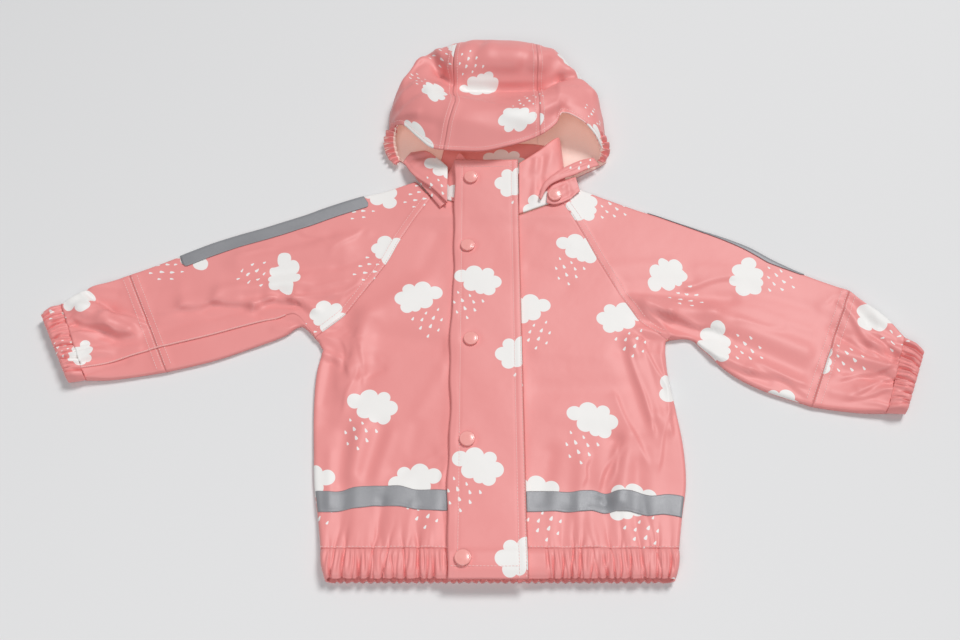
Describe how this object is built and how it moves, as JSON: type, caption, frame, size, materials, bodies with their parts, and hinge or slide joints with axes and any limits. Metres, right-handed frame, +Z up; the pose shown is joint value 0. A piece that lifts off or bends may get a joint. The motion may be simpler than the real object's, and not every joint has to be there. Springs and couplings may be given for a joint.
{
  "type": "kids rain jacket",
  "caption": "Hooded rain jacket for a small child, fastened and laid flat, with a storm flap, snaps, gathered hem and cuffs, and reflective tape.",
  "frame": {"origin": "middle of the jacket's box in plan, on the surface that it lies on", "axes": "+Z up from the surface, +Y towards the hood, +X towards the wearer's left sleeve"},
  "size_m": [0.881, 0.652, 0.0518],
  "materials": {
    "cloth": "satin coated cloth, salmon pink with white clouds and drops",
    "tape": "fine-grained grey reflective tape",
    "snap": "glossy"
  },
  "bodies": {
    "root": {"back_panel": "cloth", "front_right": "cloth", "front_left": "cloth", "storm_flap": "cloth", "hem_front_right": "cloth", "hem_front_left": "cloth", "hem_back": "cloth", "tape_front_right": "tape", "tape_front_left": "tape", "sleeve_right_upper": "cloth", "sleeve_right_lower": "cloth", "cuff_right": "cloth", "tape_sleeve_right": "tape", "hood_elastic_right": "cloth", "sleeve_left_upper": "cloth", "sleeve_left_lower": "cloth", "cuff_left": "cloth", "tape_sleeve_left": "tape", "hood_elastic_left": "cloth", "collar_back": "cloth", "collar_right": "cloth", "collar_left": "cloth", "hood_right": "cloth", "hood_centre": "cloth", "hood_left": "cloth", "hood_end_right_upper": "cloth", "hood_end_right_lower": "cloth", "hood_end_left_upper": "cloth", "hood_end_left_tab": "cloth", "snap_1": "snap", "snap_2": "snap", "snap_3": "snap", "snap_4": "snap", "snap_5": "snap", "snap_hood": "snap"}
  },
  "joints": []
}
